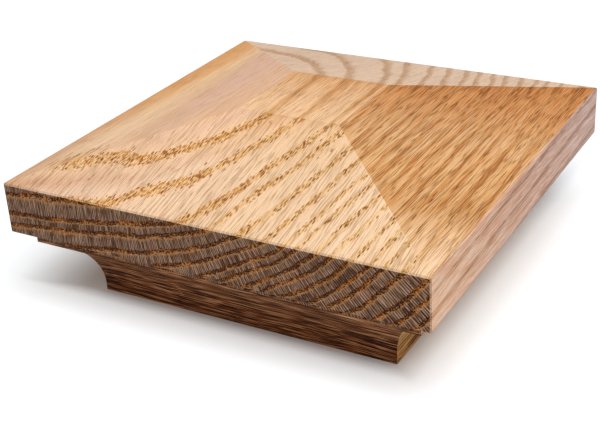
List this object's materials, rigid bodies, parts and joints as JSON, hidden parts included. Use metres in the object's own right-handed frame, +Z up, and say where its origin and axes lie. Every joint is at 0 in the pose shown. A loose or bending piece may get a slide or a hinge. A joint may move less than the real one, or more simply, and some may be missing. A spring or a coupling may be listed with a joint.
{
  "type": "newel post cap",
  "caption": "Square oak newel post cap: a rebated slab with a low flat-topped pyramid on a mitred cove moulding collar that drops over the head of the post.",
  "frame": {"origin": "middle of the collar's foot, on the cap's vertical axis", "axes": "+Z up through the flat of the pyramid, +X to the right, -Y towards the front, where the slab shows end grain"},
  "size_m": [0.14, 0.14, 0.055],
  "materials": {
    "slab_oak": "bare, sanded",
    "cove_front_oak": "bare, sanded",
    "cove_right_oak": "bare, sanded",
    "cove_back_oak": "bare, sanded",
    "cove_left_oak": "bare, sanded"
  },
  "bodies": {
    "root": {"cap_slab": "slab_oak", "cove_front": "cove_front_oak", "cove_right": "cove_right_oak", "cove_back": "cove_back_oak", "cove_left": "cove_left_oak"}
  },
  "joints": []
}
